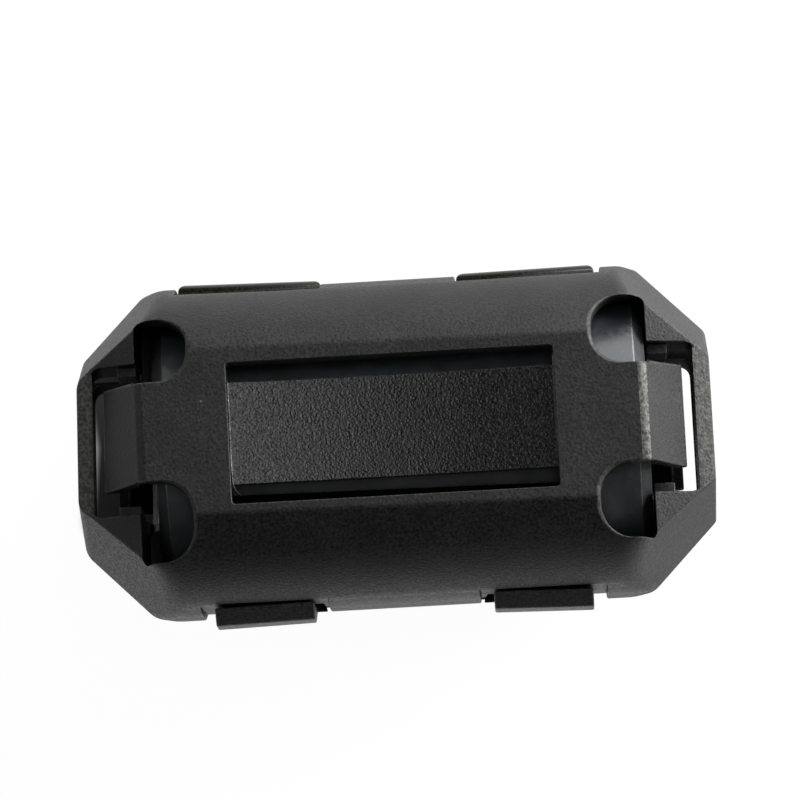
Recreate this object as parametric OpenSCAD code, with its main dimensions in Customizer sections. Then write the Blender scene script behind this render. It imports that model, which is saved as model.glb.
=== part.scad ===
// Clip on ferrite bead. A moulded case in two halves, joined by two bending straps
// along one long side and latched along the other, closes two half-round ferrite
// cores round a cable.
// X runs along the cable, +Y points to the straps and +Z is up. The origin is on the
// cable's axis, in the plane where the halves meet, halfway along the case.

/* [Ferrite cores] */
// Outside diameter of the two half cores together
core_d = 13; // [13:0.1:15]
// Diameter of the hole for the cable
bore_d = 7; // [5:0.1:7.3]
// Length of the cores
core_l = 23.2; // [22.6:0.1:26]
// Chamfer on the outer edge at the cores' ends
core_chamfer = 0.5; // [0.1:0.05:0.7]
// Chamfer on the edge of the hole at the cores' ends
bore_chamfer = 0.3; // [0.1:0.05:0.6]
// How far the upper core has slid in the case towards +X
upper_core_shift = 0.35; // [-0.4:0.05:0.4]
// How far the lower core has slid in the case towards +X
lower_core_shift = -0.4; // [-0.4:0.05:0.4]

/* [Case walls] */
// Clearance between the cores and the case round them
core_clear = 0.2; // [0.1:0.05:0.3]
// Room at each end of the cores when they are in the middle
core_end_gap = 0.45; // [0.45:0.05:1]
// Wall above the cores, on the centre line
roof_wall = 0.8; // [0.7:0.05:1.2]
// Wall beside the cores, where the halves meet
side_wall = 1.02; // [0.9:0.02:1.2]
// Width of the flat on the outside of each half
flat_w = 7.7; // [7.4:0.1:8.6]
// Thickness of the bulkheads that stop the cores
bulkhead_t = 1; // [0.6:0.05:1.3]
// Length of the chamber between a bulkhead and the end wall
chamber_l = 1.3; // [1.2:0.05:1.6]
// Thickness of the end walls
end_wall_t = 0.65; // [0.5:0.05:0.9]
// Radial clearance round the cable in the bulkheads and end walls, past the cores' hole
cable_clear = 0.2; // [0.2:0.05:0.3]

/* [Ends of the case] */
// Length that each corner cut takes off a long side
corner_l = 3.2; // [2.6:0.05:3.4]
// Lean of the corner cuts from the vertical, in degrees
corner_lean = 16; // [10:1:20]
// Drop from the flat to an end cap, at the bulkhead
cap_drop = 2.3; // [1.9:0.1:2.4]
// Slope of the end caps, in degrees
cap_slope = 22; // [10:1:24]
// Slope of the end walls' tops, in degrees
rim_slope = 32; // [25:1:35]
// Width of the slot in an end cap, over the grip tongue
slot_w = 7; // [6.6:0.1:7.4]
// Drop from the end cap to the bulkhead's top, inside that slot
bulkhead_drop = 1; // [0.7:0.05:1.2]

/* [Grip tongues] */
// Width of the tongues
tongue_w = 4.7; // [3.5:0.1:5]
// Thickness of the tongues
tongue_t = 0.7; // [0.5:0.05:0.75]
// Distance from the bend of a tongue to the bulkhead
tongue_setback = 0.2; // [0.1:0.05:0.4]
// Distance that a tongue reaches outwards past its bend
tongue_reach = 1.85; // [1.5:0.05:2.2]
// Distance that a tongue drops past its bend
tongue_drop = 3; // [2.4:0.05:3.2]
// Clearance beside a tongue, in the notch of the bulkhead
notch_clear = 0.6; // [0.3:0.05:0.8]

/* [Spring panels] */
// Distance from each end of the window in the flat to the bulkhead
window_inset = 4.4; // [3.5:0.05:6]
// Width of the window
window_w = 6.6; // [6:0.1:7]
// Width of the spring panel across the window
spring_w = 4.8; // [4:0.1:5.2]
// Thickness of the spring panel
spring_t = 0.45; // [0.3:0.05:0.5]
// Step down from the flat to the ends of the spring panel
spring_step = 0.15; // [0.1:0.05:0.2]
// Clearance between the middle of the spring panel and the core
spring_clear = 0.05; // [0.03:0.01:0.1]

/* [Ports beside the tongues] */
// Length of a port along the case
port_l = 2.55; // [2.2:0.05:2.8]
// Width of a port across the case
port_w = 3.3; // [3.1:0.1:3.5]
// Distance from the centre line to a port
port_y = 2.4; // [2.3:0.05:2.6]
// Radius of a port's two rounded corners
port_r = 1.5; // [0.8:0.05:1.54]

/* [Hinge straps] */
// Distance from the outer edge of a strap to the bulkhead
strap_inset = 2.05; // [1.9:0.05:2.8]
// Width of a strap
strap_w = 6.7; // [4:0.1:7]
// Thickness of a strap
strap_t = 0.25; // [0.2:0.05:0.3]
// Outer radius of the loop that a closed strap makes
strap_r = 0.45; // [0.4:0.05:0.6]
// Distance that a closed strap stands out past the case
strap_proud = 0.35; // [0.3:0.05:0.6]
// Depth of the recess behind a strap
strap_recess = 0.6; // [0.5:0.05:0.8]
// Clearance between a strap's edges and the ends of its recess
strap_clear = 0.1; // [0.05:0.05:0.3]

/* [Latches] */
// Distance from the outer edge of a latch arm to the bulkhead
latch_inset = 3.1; // [2.9:0.05:3.4]
// Width of a latch arm
latch_w = 4.7; // [4.2:0.1:5.2]
// Clearance between a latch arm's edges and the ends of its recess
latch_side_clear = 0.65; // [0.3:0.05:0.8]
// Depth of the recess behind a latch arm, in the upper half
upper_recess = 0.3; // [0.2:0.05:0.4]
// Depth of the recess behind a latch arm, in the lower half
lower_recess = 0.5; // [0.4:0.05:0.6]
// Clearance between a latch arm and the recess in the upper half
latch_clear = 0.15; // [0.1:0.05:0.25]
// Distance that a latch arm stands out past the case
latch_proud = 0.65; // [0.6:0.05:0.9]
// Height of a latch arm over the parting plane
latch_h = 2.75; // [2.6:0.05:3]
// Height of the outer corner where the arm's top slopes off
latch_shoulder = 2.05; // [1.9:0.05:2.2]
// Height at which the arm starts to taper down to its root
latch_taper = 0.35; // [0:0.05:0.6]
// Depth of the arm's root under the parting plane
latch_root = 3.3; // [2.8:0.1:3.5]
// Depth of the gap behind the arm under the parting plane
latch_gap_h = 0.9; // [0.5:0.05:1.4]
// Width of the catch that the arm holds
catch_w = 2.9; // [2:0.1:3.2]
// Distance that the catch stands out of its recess
catch_proud = 0.5; // [0.4:0.05:0.6]
// Height of the catch's foot over the parting plane
catch_foot = 0.4; // [0.35:0.05:0.5]
// Height of the catch's top over the parting plane
catch_top = 1.5; // [1.4:0.05:1.7]
// Height of the upright part of the catch's face
catch_face = 0.35; // [0.2:0.05:0.45]
// Clearance between the catch and its pocket in the arm, at the sides and the top
catch_clear = 0.15; // [0.1:0.05:0.2]
// Thickness of the arm outside that pocket
latch_skin = 0.3; // [0.2:0.05:0.35]

/* [Hidden] */
$fn = 96;
eps = 0.01;
far = 40;    // longer than any cut needs
weld = 0.3;  // how far tongues and springs run into the roof that carries them

core_r = core_d / 2;
bore_r = bore_d / 2;
half_w = core_r + core_clear + side_wall;
half_h = core_r + core_clear + roof_wall;
flat_y = flat_w / 2;
cap_h = half_h - cap_drop;
bulkhead_h = cap_h - bulkhead_drop;
// height of the centre of the arc that joins the side to the flat
arc_z = half_h - sqrt(half_w * half_w - flat_y * flat_y);

// places along the case, from its middle to one end
stop_x = core_l / 2 + core_end_gap;
chamber_x = stop_x + bulkhead_t;
wall_x = chamber_x + chamber_l;
end_x = wall_x + end_wall_t;
bend_x = stop_x - tongue_setback;
window_l = 2 * (stop_x - window_inset);
strap_x = stop_x - strap_inset - strap_w / 2;
latch_x = stop_x - latch_inset - latch_w / 2;

cable_r = bore_r + cable_clear;
recess_y = half_w - strap_recess;
loop_y = half_w + strap_proud - strap_r;
arm_in = half_w - upper_recess + latch_clear;
arm_out = half_w + latch_proud;

module both_ends() {
    children();
    rotate([0, 0, 180]) children();
}

module both_sides() {
    children();
    mirror([0, 1, 0]) children();
}

// a flat outline in Y and Z, drawn out along X for the given length about the middle
module along_x(length) {
    translate([-length / 2, 0, 0]) rotate([90, 0, 90]) linear_extrude(length) children();
}

// a flat outline in X and Z, drawn out along Y for the given width about the middle
module along_y(width) {
    translate([0, width / 2, 0]) rotate([90, 0, 0]) linear_extrude(width) children();
}

// section of one half: upright at the parting plane, then an arc up to the flat
module half_section() {
    translate([-half_w, 0]) square([2 * half_w, arc_z]);
    intersection() {
        translate([0, arc_z]) circle(half_w);
        translate([-half_w, arc_z]) square([2 * half_w, half_h - arc_z]);
    }
}

// what is cut off above the end cap and the end wall
module cap_cut() {
    wall_h = cap_h - (wall_x - stop_x) * tan(cap_slope);
    past = 1;
    along_y(far) polygon([
        [stop_x, cap_h], [wall_x, wall_h],
        [end_x + past, wall_h - (end_wall_t + past) * tan(rim_slope)],
        [end_x + past, far], [stop_x, far],
    ]);
}

// what is cut off outside one leaning corner face
module corner_cut() {
    translate([end_x - corner_l, half_w, 0]) rotate([0, 0, 45]) rotate([0, -corner_lean, 0])
        translate([0, -far / 2, -far / 2]) cube(far);
}

// the D-shaped port, flat against the bulkhead and round towards the middle
module port() {
    translate([stop_x - port_l, port_y]) {
        translate([port_r, 0]) square([port_l - port_r, port_w]);
        translate([0, port_r]) square([port_l, port_w - 2 * port_r]);
        for (y = [port_r, port_w - port_r]) translate([port_r, y]) circle(port_r);
    }
}

// the hollows at one end: chamber, slot over the tongue, notch and ports
module end_hollows() {
    translate([chamber_x, -slot_w / 2, -eps]) cube([chamber_l, slot_w, far]);
    translate([bend_x, -slot_w / 2, bulkhead_h]) cube([wall_x - bend_x, slot_w, far]);
    notch = tongue_w / 2 + notch_clear;
    translate([stop_x - eps, -notch, -eps]) cube([bulkhead_t + 2 * eps, 2 * notch, far]);
    both_sides() translate([0, 0, bore_r]) linear_extrude(far) port();
}

// the tongue that bends down towards the cable at one end
module tongue() {
    slant = sqrt(tongue_reach * tongue_reach + tongue_drop * tongue_drop);
    tip = [bend_x + tongue_reach, half_h - tongue_drop];
    under = tip - tongue_t / slant * [tongue_drop, tongue_reach];
    // the underside meets the roof's own underside here
    under_z = half_h - tongue_t;
    under_x = under.x - (under_z - under.y) * tongue_reach / tongue_drop;
    along_y(tongue_w) polygon([
        [bend_x - weld, half_h], [bend_x, half_h], tip, under,
        [under_x, under_z], [bend_x - weld, under_z],
    ]);
}

// the thin panel across the window, bowed down to the core
module spring() {
    low = core_r + spring_clear + spring_t;
    sag = half_h - spring_step - low;
    bow_r = (window_l * window_l / 4 + sag * sag) / (2 * sag);
    intersection() {
        translate([-window_l / 2 - weld, -spring_w / 2, 0])
            cube([window_l + 2 * weld, spring_w, half_h]);
        translate([0, 0, low + bow_r]) rotate([90, 0, 0]) difference() {
            cylinder(r = bow_r + spring_t, h = 2 * spring_w, center = true, $fn = 360);
            cylinder(r = bow_r, h = 3 * spring_w, center = true, $fn = 360);
        }
    }
}

// recesses of the given width and depth in one long side, one at each side of the middle
module edge_recess(middle, width, depth) {
    for (x = [-middle, middle])
        translate([x - width / 2, half_w - depth, -eps]) cube([width, far, far]);
}

// one half of the case without latches, as the upper half, with straps at +Y
module case_half(latch_depth) {
    difference() {
        along_x(2 * end_x) half_section();
        along_x(2 * stop_x) circle(core_r + core_clear);
        along_x(far) circle(cable_r);
        both_ends() {
            cap_cut();
            both_sides() corner_cut();
            end_hollows();
        }
        translate([-window_l / 2, -window_w / 2, bore_r]) cube([window_l, window_w, far]);
        edge_recess(strap_x, strap_w + 2 * strap_clear, strap_recess);
        mirror([0, 1, 0]) edge_recess(latch_x, latch_w + 2 * latch_side_clear, latch_depth);
    }
    both_ends() tongue();
    spring();
}

// section of a latch arm, outwards from the case and upwards
module arm_section() {
    wall_y = half_w - lower_recess;
    root_y = wall_y - eps;
    polygon([
        [arm_in, latch_h], [arm_in + latch_clear, latch_h], [arm_out, latch_shoulder],
        [arm_out, latch_taper], [wall_y, -latch_root], [root_y, -latch_root],
        [root_y, -latch_gap_h], [arm_in, -latch_gap_h + (arm_in - root_y)],
    ]);
}

// an arm with a blind pocket in its inner face, where the catch goes
module latch_arm() {
    pocket = catch_w + 2 * catch_clear;
    difference() {
        along_x(latch_w) arm_section();
        translate([-pocket / 2, 0, catch_foot])
            cube([pocket, arm_out - latch_skin, catch_top + catch_clear - catch_foot]);
    }
}

// section of the catch: a ramp up to an upright face, with a flat top
module catch_section() {
    wall_y = half_w - upper_recess;
    polygon([
        [wall_y - eps, catch_foot], [wall_y, catch_foot],
        [wall_y + catch_proud, catch_top - catch_face],
        [wall_y + catch_proud, catch_top], [wall_y - eps, catch_top],
    ]);
}

module half_core(shift) {
    translate([shift, 0, 0]) rotate([0, 90, 0]) translate([0, 0, -core_l / 2])
        rotate([0, 0, 90]) rotate_extrude(angle = 180) polygon([
            [bore_r + bore_chamfer, 0], [core_r - core_chamfer, 0],
            [core_r, core_chamfer], [core_r, core_l - core_chamfer],
            [core_r - core_chamfer, core_l], [bore_r + bore_chamfer, core_l],
            [bore_r, core_l - bore_chamfer], [bore_r, bore_chamfer],
        ]);
}

module strap() {
    along_x(strap_w) {
        intersection() {
            difference() {
                translate([loop_y, 0]) circle(strap_r);
                translate([loop_y, 0]) circle(strap_r - strap_t);
            }
            translate([loop_y, -far / 2]) square(far);
        }
        for (z = [-strap_r, strap_r - strap_t])
            translate([recess_y, z]) square([loop_y - recess_y, strap_t]);
    }
}

module lower_shell() {
    color([0.13, 0.13, 0.135]) {
        mirror([0, 0, 1]) case_half(lower_recess);
        for (x = [-latch_x, latch_x]) translate([x, 0, 0]) mirror([0, 1, 0]) latch_arm();
    }
}

module upper_shell() {
    color([0.15, 0.15, 0.155]) {
        case_half(upper_recess);
        for (x = [-latch_x, latch_x])
            translate([x, 0, 0]) mirror([0, 1, 0]) along_x(catch_w) catch_section();
    }
}

module upper_core() {
    color([0.4, 0.41, 0.42]) half_core(upper_core_shift);
}

module lower_core() {
    color([0.36, 0.37, 0.38]) mirror([0, 0, 1]) half_core(lower_core_shift);
}

module hinge_strap_left() {
    color([0.2, 0.2, 0.18]) translate([-strap_x, 0, 0]) strap();
}

module hinge_strap_right() {
    color([0.2, 0.2, 0.18]) translate([strap_x, 0, 0]) strap();
}

lower_shell();
upper_shell();
lower_core();
upper_core();
hinge_strap_left();
hinge_strap_right();
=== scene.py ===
import math
import random

import bmesh
import bpy
from mathutils import Matrix, Vector
from mathutils.bvhtree import BVHTree
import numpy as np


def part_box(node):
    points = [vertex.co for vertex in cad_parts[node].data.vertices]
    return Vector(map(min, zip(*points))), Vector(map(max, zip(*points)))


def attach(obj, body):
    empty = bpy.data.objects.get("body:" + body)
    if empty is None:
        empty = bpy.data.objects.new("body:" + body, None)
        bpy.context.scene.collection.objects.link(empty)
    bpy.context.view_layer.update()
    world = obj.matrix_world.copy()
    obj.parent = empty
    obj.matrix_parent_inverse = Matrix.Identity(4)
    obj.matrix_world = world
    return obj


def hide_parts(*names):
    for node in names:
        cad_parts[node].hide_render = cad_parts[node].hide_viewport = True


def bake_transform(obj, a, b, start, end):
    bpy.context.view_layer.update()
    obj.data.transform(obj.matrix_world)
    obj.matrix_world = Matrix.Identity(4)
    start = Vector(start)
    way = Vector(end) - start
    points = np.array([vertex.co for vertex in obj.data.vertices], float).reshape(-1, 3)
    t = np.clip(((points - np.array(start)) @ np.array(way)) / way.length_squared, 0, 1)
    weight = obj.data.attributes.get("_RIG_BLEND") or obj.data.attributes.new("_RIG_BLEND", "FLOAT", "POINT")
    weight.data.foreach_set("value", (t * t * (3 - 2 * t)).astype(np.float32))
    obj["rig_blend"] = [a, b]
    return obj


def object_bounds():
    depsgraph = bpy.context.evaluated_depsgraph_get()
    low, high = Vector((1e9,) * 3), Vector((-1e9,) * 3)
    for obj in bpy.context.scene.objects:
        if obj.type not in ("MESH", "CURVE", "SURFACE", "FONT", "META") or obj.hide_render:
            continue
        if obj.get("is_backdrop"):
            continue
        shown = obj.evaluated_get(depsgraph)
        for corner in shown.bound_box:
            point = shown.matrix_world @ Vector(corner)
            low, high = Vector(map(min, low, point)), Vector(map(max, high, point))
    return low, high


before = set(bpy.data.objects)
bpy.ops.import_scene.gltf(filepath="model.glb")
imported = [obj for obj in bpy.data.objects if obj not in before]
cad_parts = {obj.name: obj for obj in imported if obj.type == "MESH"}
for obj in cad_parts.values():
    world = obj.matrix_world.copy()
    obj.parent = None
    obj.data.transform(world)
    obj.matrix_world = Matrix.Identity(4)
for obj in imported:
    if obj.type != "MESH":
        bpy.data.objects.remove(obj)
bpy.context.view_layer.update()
mm = 0.001

# where the camera stands, in degrees and metres, for a square picture of 800 pixels
viewSpec = {
    "elevation": 82.3,
    "towardsRight": 1.2,
    "roll": 3.1,
    "distance": 0.30,
    "pixelsPerMetre": 20930,
    "centrePixel": (397.0, 444.3),
    "imageSize": 800,
}


def makeCamera(spec):
    tilt = math.radians(90 - spec["elevation"])
    aside = math.radians(spec["towardsRight"])
    back = Vector((math.sin(aside), -math.sin(tilt), math.cos(tilt))).normalized()
    right = Vector((0, 1, 0)).cross(back).normalized()
    up = back.cross(right).normalized()
    turn = math.radians(spec["roll"])
    camRight = right * math.cos(turn) - up * math.sin(turn)
    camUp = right * math.sin(turn) + up * math.cos(turn)
    data = bpy.data.cameras.new("camera")
    camera = bpy.data.objects.new("camera", data)
    bpy.context.scene.collection.objects.link(camera)
    data.sensor_width = 36
    data.lens = spec["pixelsPerMetre"] * spec["distance"] / spec["imageSize"] * data.sensor_width
    data.clip_start = 0.01
    data.clip_end = 10
    half = spec["imageSize"] / 2
    offX = (spec["centrePixel"][0] - half) / spec["pixelsPerMetre"]
    offY = (half - spec["centrePixel"][1]) / spec["pixelsPerMetre"]
    place = back * spec["distance"] - camRight * offX - camUp * offY
    camera.matrix_world = Matrix((
        (camRight.x, camUp.x, back.x, place.x),
        (camRight.y, camUp.y, back.y, place.y),
        (camRight.z, camUp.z, back.z, place.z),
        (0, 0, 0, 1),
    ))
    bpy.context.scene.camera = camera


makeCamera(viewSpec)
bpy.context.scene.view_settings.view_transform = "Standard"
print("camera placed")

# sizes that the frame gives, in millimetres
endX, halfW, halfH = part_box("upper_shell")[1] / mm
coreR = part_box("upper_core")[1].y / mm
far = 40


# helpers: solids are made in millimetres and scaled at the end
def solidFrom(name, bm):
    bmesh.ops.recalc_face_normals(bm, faces=bm.faces)
    mesh = bpy.data.meshes.new(name)
    bm.to_mesh(mesh)
    bm.free()
    thing = bpy.data.objects.new(name, mesh)
    bpy.context.scene.collection.objects.link(thing)
    return thing


def joinRings(bm, rings):
    # rings have equally many points
    verts = [[bm.verts.new(point) for point in ring] for ring in rings]
    for low, high in zip(verts, verts[1:]):
        for i, start in enumerate(low):
            k = (i + 1) % len(low)
            bm.faces.new((start, low[k], high[k], high[i]))
    return verts


def loft(name, rings):
    # a solid through rings, closed at the first and the last
    bm = bmesh.new()
    verts = joinRings(bm, rings)
    bm.faces.new(verts[0])
    bm.faces.new(verts[-1])
    return solidFrom(name, bm)


def prism(name, outline, axis, low, high):
    # outline is in the two other axes, in the order x, y, z
    order = {"x": (2, 0, 1), "y": (0, 2, 1), "z": (0, 1, 2)}[axis]
    return loft(name, [[[(a, b, end)[i] for i in order] for a, b in outline] for end in (low, high)])


def arc(middle, radius, start, stop, steps):
    angles = [math.radians(start + (stop - start) * i / steps) for i in range(steps + 1)]
    return [(middle[0] + radius * math.cos(a), middle[1] + radius * math.sin(a)) for a in angles]


def circle(radius, steps=96):
    return arc((0, 0), radius, 0, 360, steps)[:-1]


def roundBox(x0, x1, y0, y1, radii=(0, 0, 0, 0), steps=8):
    # radii of the corners at (x0, y0), (x1, y0), (x1, y1) and (x0, y1)
    corners = [(x0, y0, 1, 1, 180), (x1, y0, -1, 1, 270), (x1, y1, -1, -1, 0), (x0, y1, 1, -1, 90)]
    outline = []
    for (x, y, dx, dy, start), radius in zip(corners, radii):
        if radius:
            outline += arc((x + dx * radius, y + dy * radius), radius, start, start + 90, steps)
        else:
            outline.append((x, y))
    return outline


def mirrored(outline, dx=1, dy=1):
    return [(x * dx, y * dy) for x, y in outline]


def bake(thing):
    graph = bpy.context.evaluated_depsgraph_get()
    mesh = bpy.data.meshes.new_from_object(thing.evaluated_get(graph))
    old = thing.data
    thing.modifiers.clear()
    thing.data = mesh
    bpy.data.meshes.remove(old)
    return thing


def combine(thing, tools, operation):
    for tool in tools:
        mod = thing.modifiers.new("combine", "BOOLEAN")
        mod.operation = operation
        mod.solver = "MANIFOLD"
        mod.object = tool
    bake(thing)
    for tool in tools:
        bpy.data.meshes.remove(tool.data)
    return thing


def soften(thing, widthOf, steps=3, least=24, furthest=0.12):
    # rounds each edge sharper than least degrees by a width of its own
    bm = bmesh.new()
    bm.from_mesh(thing.data)
    nearlyFlat = math.radians(0.05)
    bmesh.ops.dissolve_limit(bm, angle_limit=nearlyFlat, verts=bm.verts[:], edges=bm.edges[:])
    bm.normal_update()
    layers = bm.edges.layers.float
    weight = layers.get("bevel_weight_edge") or layers.new("bevel_weight_edge")
    for edge in bm.edges:
        sharp = len(edge.link_faces) == 2 and math.degrees(edge.calc_face_angle(0)) > least
        edge[weight] = widthOf(edge) if sharp else 0
    bm.to_mesh(thing.data)
    bm.free()
    mod = thing.modifiers.new("soften", "BEVEL")
    mod.limit_method = "WEIGHT"
    mod.offset_type = "OFFSET"
    mod.width = 1
    mod.segments = steps
    mod.use_clamp_overlap = False
    mod.loop_slide = False
    # the mark later carries the painted edge highlight
    mod.material = 1  # marks the rounded faces, and dress turns the mark into an attribute
    while len(thing.data.materials) < 2:
        thing.data.materials.append(None)
    places = [vert.co.copy() for vert in thing.data.vertices]
    unrounded = BVHTree.FromPolygons(places, [list(face.vertices) for face in thing.data.polygons])
    bake(thing)
    for vert in thing.data.vertices:
        place, _, _, away = unrounded.find_nearest(vert.co)
        if away > furthest:
            vert.co = place  # a corner that the rounding threw out
    bm = bmesh.new()
    bm.from_mesh(thing.data)
    for edge in bm.edges:
        edge.smooth = edge.calc_face_angle(0) < math.radians(least + 6)
    bm.to_mesh(thing.data)
    bm.free()
    return thing


# the case: both halves come from the same moulded form
caseSpec = {
    "flatHalf": 3.85,
    "arcSteps": 22,
    "flatEdge": 0.15,
    "partingEdge": 0.06,
    "stopX": 12.05,
    "coreClear": 0.2,
    "bulkhead": 1.0,
    "chamber": 1.3,
    "cornerL": 3.2,
    "cornerLean": 16,
    "cornerSteps": 6,
    "capDrop": 2.3,
    "capSlope": 22,
    "rimSlope": 32,
    "slotHalf": 3.5,
    "slotCorner": 0.55,
    "bulkheadDrop": 1.0,
    "cableR": 3.7,
    "boreR": 3.5,
    "tongueRootHalf": 2.3,
    "tongueTipHalf": 2.42,
    "tongueT": 0.7,
    "tongueSetback": 0.2,
    "tongueReach": 1.85,
    "tongueDrop": 3.0,
    "tongueBend": 0.3,
    "notchClear": 0.6,
    "windowInset": 4.4,
    "windowHalf": 3.3,
    "windowCorner": 0.15,
    "springHalf": 2.4,
    "springT": 0.45,
    "springStep": 0.15,
    "springClear": 0.05,
    "portL": 2.55,
    "portW": 3.35,
    "portR": 1.5,
    "portCorner": 0.25,
    "portLip": 0.32,
    "portStep": 0.2,
    "strapInset": 2.05,
    "strapW": 6.7,
    "strapRecess": 0.6,
    "strapClear": 0.1,
    "latchInset": 3.1,
    "latchW": 4.7,
    "latchSideClear": 0.65,
    "upperRecess": 0.3,
    "lowerRecess": 0.5,
    "weld": 0.3,
    # widths of the rounded edges
    "plainEdge": 0.08,
    "windowEdge": 0.05,
    "tongueEdge": 0.1,
    "edgeNear": 0.02,
    "edgeWide": 0.1,
    "edgeDeep": 0.6,
}
# how far the corner cuts are rounded into the side and the end, for each corner
upperCorners = {
    (1, 1): (0.25, 0.25), (-1, 1): (0.42, 0.42),
    (-1, -1): (0.5, 0.45), (1, -1): (0.55, 0.12),
}
lowerCorners = {
    (1, 1): (0.25, 0.25), (-1, 1): (0.42, 0.42),
    (-1, -1): (0.45, 0.4), (1, -1): (0.45, 0.2),
}
# how much further the end chambers and slots reach at the left and the right
upperDeeper = {-1: 0, 1: 0}
lowerDeeper = {-1: 0.34, 1: -0.1}
# how the moulding has warped: each end is wider by these shares, and the left end leans
warpSpec = {
    "from": 5.0,
    "to": 9.5,
    "wider": {(-1, 1): 0.017, (-1, -1): 0.011, (1, 1): 0.008, (1, -1): 0.016},
    "leftLean": 0.03,
    "leanFrom": 11.5,
    "leanTo": 13.5,
    # the left tongue with its ports and slot sits off centre
    "tongueShift": 0.28,
    "shiftX": (8.0, 10.0),
    "shiftY": (3.6, 5.8),
}
stopX = caseSpec["stopX"]
strapX = stopX - caseSpec["strapInset"] - caseSpec["strapW"] / 2
latchX = stopX - caseSpec["latchInset"] - caseSpec["latchW"] / 2
bendX = stopX - caseSpec["tongueSetback"]
cornerFall = math.sqrt(2) * math.tan(math.radians(caseSpec["cornerLean"]))
cornerSum = endX - caseSpec["cornerL"] + halfW  # |x| + |y| on a corner cut at the parting plane
arcZ = halfH - math.sqrt(halfW ** 2 - caseSpec["flatHalf"] ** 2)


def curvePoint(low, crease, high, t):
    # a rounded crease between two straight runs
    return low * (1 - t) ** 2 + crease * 2 * t * (1 - t) + high * t * t


def sideProfile(spec):
    # half width and height up one side, from the parting plane to the flat
    edge = spec["partingEdge"]
    points = [(halfW - edge, 0), (halfW - edge * 0.3, edge * 0.3), (halfW, edge)]
    top = math.degrees(math.atan2(halfH - arcZ, spec["flatHalf"]))
    rise = arc((0, arcZ), halfW, 0, top, spec["arcSteps"])
    points += rise[:-1]
    low, crease = Vector(rise[-2]), Vector(rise[-1])
    high = Vector((spec["flatHalf"] - spec["flatEdge"], halfH))
    low = crease + (low - crease).normalized() * spec["flatEdge"]
    points += [tuple(curvePoint(low, crease, high, i / 4)) for i in range(5)]
    return points


def planRing(reach, z, inset, corners, steps):
    # one level outline: reach is the half width here, and each corner is cut and rounded
    ring = []
    endAt, slant = endX - inset, 0.7071
    total = cornerSum - z * cornerFall - inset * math.sqrt(2)
    for dx, dy in ((1, 1), (-1, 1), (-1, -1), (1, -1)):
        toSide, toEnd = corners[(dx, dy)]
        rise = 1 + z / halfH  # the creases get softer towards the top
        bends = [
            ((endAt, total - endAt), (0, -1), (-slant, slant), toEnd),
            ((total - reach, reach), (slant, -slant), (-1, 0), toSide * rise),
        ]
        part = []
        for (x, y), back, on, width in bends:
            for i in range(steps + 1):
                t = i / steps
                px = x + width * (back[0] * (1 - t) ** 2 + on[0] * t * t)
                py = y + width * (back[1] * (1 - t) ** 2 + on[1] * t * t)
                part.append((px * dx, py * dy, z))
        ring += part if dx * dy > 0 else reversed(part)
    return ring


def makeSkin(name, spec, corners):
    rings = []
    for reach, z in sideProfile(spec):
        inset = max(0, halfW - reach) if z < spec["partingEdge"] - 1e-6 else 0
        rings.append(planRing(reach, z, inset, corners, spec["cornerSteps"]))
    return loft(name, rings)


def capCut(spec, end):
    wallX = stopX + spec["bulkhead"] + spec["chamber"]
    capH = halfH - spec["capDrop"]
    wallH = capH - (wallX - stopX) * math.tan(math.radians(spec["capSlope"]))
    pastX = endX + 1
    lowH = wallH - (pastX - wallX) * math.tan(math.radians(spec["rimSlope"]))
    outline = [(stopX, capH), (wallX, wallH), (pastX, lowH), (pastX, far), (stopX, far)]
    return prism("capCut", mirrored(outline, end), "y", -far, far)


def endHollows(spec, end, deeper):
    chamberX = stopX + spec["bulkhead"]
    wallX = chamberX + spec["chamber"] + deeper
    slot = spec["slotHalf"]
    notch = spec["tongueTipHalf"] + spec["notchClear"]
    shelf = halfH - spec["capDrop"] - spec["bulkheadDrop"]
    r = spec["slotCorner"]
    outlines = {
        "chamber": (roundBox(chamberX, wallX, -slot, slot, (0, r, r, 0)), -1),
        "slot": (roundBox(bendX - spec["tongueBend"], wallX, -slot, slot, (0, r, r, 0)), shelf),
        "notch": (roundBox(stopX - 0.01, chamberX + 0.01, -notch, notch), -1),
    }
    return [prism(name, mirrored(o, end), "z", low, far) for name, (o, low) in outlines.items()]


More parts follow.
